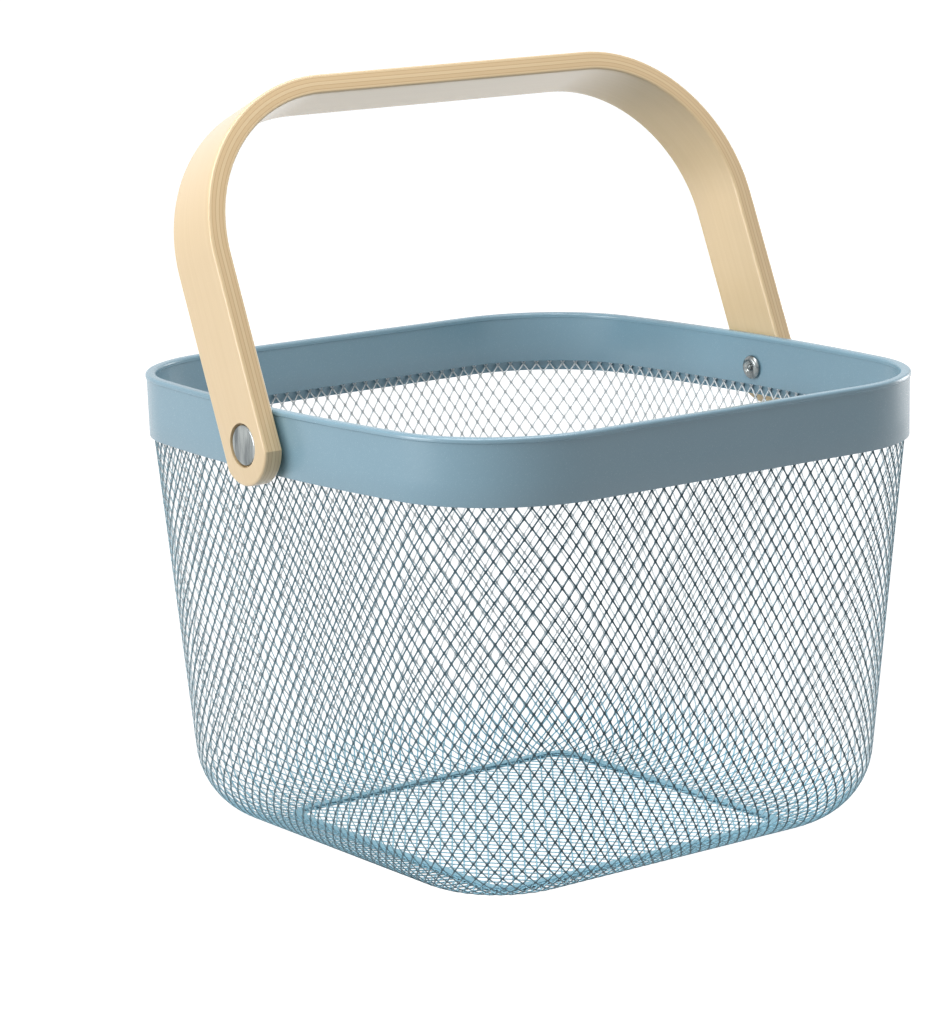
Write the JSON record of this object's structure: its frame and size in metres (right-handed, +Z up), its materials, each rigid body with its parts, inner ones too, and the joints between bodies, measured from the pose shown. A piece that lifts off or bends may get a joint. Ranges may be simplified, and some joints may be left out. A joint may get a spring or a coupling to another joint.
{
  "type": "colander",
  "caption": "Rounded-square basket of expanded steel mesh with a folded steel rim band and a bent plywood bail handle that folds down round the rim.",
  "frame": {"origin": "middle of the base, on the plane that the basket stands on", "axes": "+X along the handle's hinge towards its right-hand rivet, +Y the way the handle leans at rest, +Z up"},
  "size_m": [0.2576, 0.2504, 0.2954],
  "materials": {
    "blue_powder_coat": "satin pale grey-blue powder coat on sheet steel",
    "blue_powder_coat_mesh": "the same powder coat on expanded steel mesh",
    "birch_plywood": "clear-lacquered bent birch plywood with its plies showing at the edges",
    "bright_steel": "bright steel, lightly brushed",
    "clear_nylon": "natural nylon"
  },
  "bodies": {
    "basket": {"rim_band": "blue_powder_coat", "wall_mesh": "blue_powder_coat_mesh", "base_mesh": "blue_powder_coat_mesh", "base_strip": "blue_powder_coat", "left_rivet_tube": "bright_steel", "right_rivet_tube": "bright_steel", "left_rivet_pin": "bright_steel", "right_rivet_pin": "bright_steel", "left_spacer_washer": "clear_nylon", "right_spacer_washer": "clear_nylon"},
    "bail": {"handle": "birch_plywood"}
  },
  "joints": [
    {"name": "handle_hinge", "type": "hinge", "parent": "basket", "child": "bail", "pos_m": [0, 0, 0.1668], "axis": [1, 0, 0], "range_deg": [-67.4, 112.6]}
  ]
}
